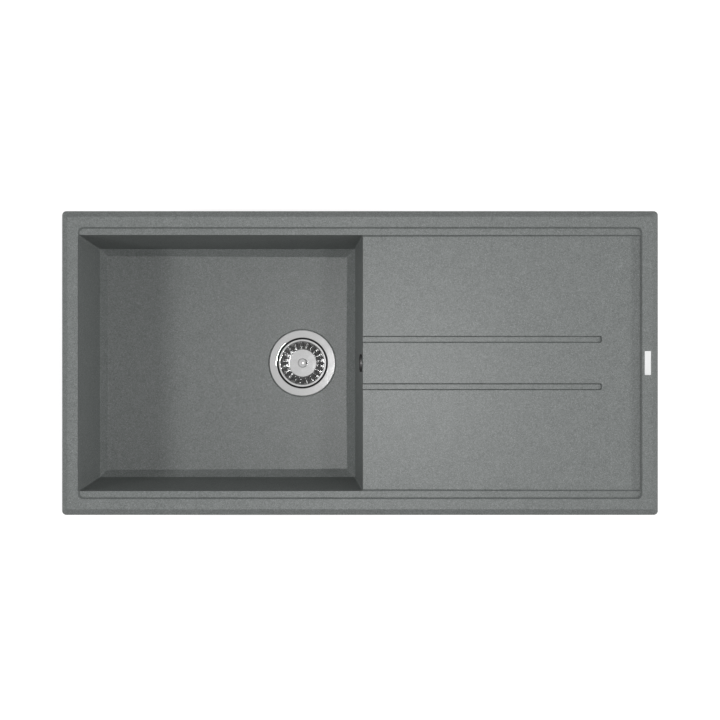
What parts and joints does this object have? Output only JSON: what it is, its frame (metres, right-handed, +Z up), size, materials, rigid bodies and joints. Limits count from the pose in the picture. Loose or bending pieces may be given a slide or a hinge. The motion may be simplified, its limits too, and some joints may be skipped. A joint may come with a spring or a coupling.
{
  "type": "inset kitchen sink",
  "caption": "Grey granite-composite inset sink with a large bowl, ledges for sliding boards, a grooved drainboard, basket strainer waste, overflow pipe and worktop clamps.",
  "frame": {"origin": "middle of the worktop cut-out, on the worktop's top face", "axes": "+X along the sink from the bowl to the drainboard, +Y to the back, +Z up"},
  "size_m": [1, 0.51, 0.2964],
  "materials": {
    "granite": "matt, fine speckle",
    "badge": "satin white",
    "foam": "closed-cell foam",
    "rubber": "matt black",
    "polished_steel": "polished stainless",
    "plain_steel": "turned stainless",
    "zinc_steel": "zinc plated",
    "brass": "turned",
    "waste_plastic": "moulded polypropylene",
    "nut_plastic": "moulded polypropylene",
    "pipe_plastic": "extruded polypropylene"
  },
  "bodies": {
    "sink": {"sink_body": "granite", "badge_plate": "badge", "rim_strip": "foam", "flange_seal": "rubber", "drain_dish": "polished_steel", "centre_screw": "plain_steel", "waste_seal": "rubber", "waste_body": "waste_plastic", "waste_funnel": "waste_plastic", "hub_insert": "brass", "overflow_rosette": "polished_steel", "overflow_screw": "plain_steel", "overflow_seal": "rubber", "overflow_elbow": "waste_plastic", "elbow_cone_seal": "rubber", "elbow_nut": "nut_plastic", "inlet_cone_seal": "rubber", "inlet_nut": "nut_plastic", "overflow_pipe": "pipe_plastic", "clamp_inserts": "brass", "clamp_screws": "zinc_steel", "clamp_washers": "zinc_steel"},
    "stem": {"basket_stem": "plain_steel", "stem_catch": "plain_steel"},
    "basket": {"basket_cup": "polished_steel", "basket_seal": "rubber", "basket_knob": "polished_steel", "stem_washer": "plain_steel"},
    "clamp_front_1": {"clamp_front_1": "zinc_steel"},
    "clamp_front_2": {"clamp_front_2": "zinc_steel"},
    "clamp_front_3": {"clamp_front_3": "zinc_steel"},
    "clamp_front_4": {"clamp_front_4": "zinc_steel"},
    "clamp_back_1": {"clamp_back_1": "zinc_steel"},
    "clamp_back_2": {"clamp_back_2": "zinc_steel"},
    "clamp_back_3": {"clamp_back_3": "zinc_steel"},
    "clamp_back_4": {"clamp_back_4": "zinc_steel"}
  },
  "joints": [
    {"name": "basket_lift", "type": "slide", "parent": "sink", "child": "stem", "axis": [0, 0, 1], "range_m": [0, 0.26]},
    {"name": "basket_turn", "type": "hinge", "parent": "stem", "child": "basket", "pos_m": [-0.102, 0, -0.206], "axis": [0, 0, 1], "continuous": true},
    {"name": "clamp_front_1_swing", "type": "hinge", "parent": "sink", "child": "clamp_front_1", "pos_m": [-0.375, -0.2306, -0.044], "axis": [0, 0, -1], "range_deg": [0, 90]},
    {"name": "clamp_front_2_swing", "type": "hinge", "parent": "sink", "child": "clamp_front_2", "pos_m": [-0.125, -0.2306, -0.044], "axis": [0, 0, -1], "range_deg": [0, 90]},
    {"name": "clamp_front_3_swing", "type": "hinge", "parent": "sink", "child": "clamp_front_3", "pos_m": [0.125, -0.2306, -0.044], "axis": [0, 0, -1], "range_deg": [0, 90]},
    {"name": "clamp_front_4_swing", "type": "hinge", "parent": "sink", "child": "clamp_front_4", "pos_m": [0.375, -0.2306, -0.044], "axis": [0, 0, -1], "range_deg": [0, 90]},
    {"name": "clamp_back_1_swing", "type": "hinge", "parent": "sink", "child": "clamp_back_1", "pos_m": [-0.375, 0.2306, -0.044], "axis": [0, 0, 1], "range_deg": [0, 90]},
    {"name": "clamp_back_2_swing", "type": "hinge", "parent": "sink", "child": "clamp_back_2", "pos_m": [-0.125, 0.2306, -0.044], "axis": [0, 0, 1], "range_deg": [0, 90]},
    {"name": "clamp_back_3_swing", "type": "hinge", "parent": "sink", "child": "clamp_back_3", "pos_m": [0.125, 0.2306, -0.044], "axis": [0, 0, 1], "range_deg": [0, 90]},
    {"name": "clamp_back_4_swing", "type": "hinge", "parent": "sink", "child": "clamp_back_4", "pos_m": [0.375, 0.2306, -0.044], "axis": [0, 0, 1], "range_deg": [0, 90]}
  ]
}
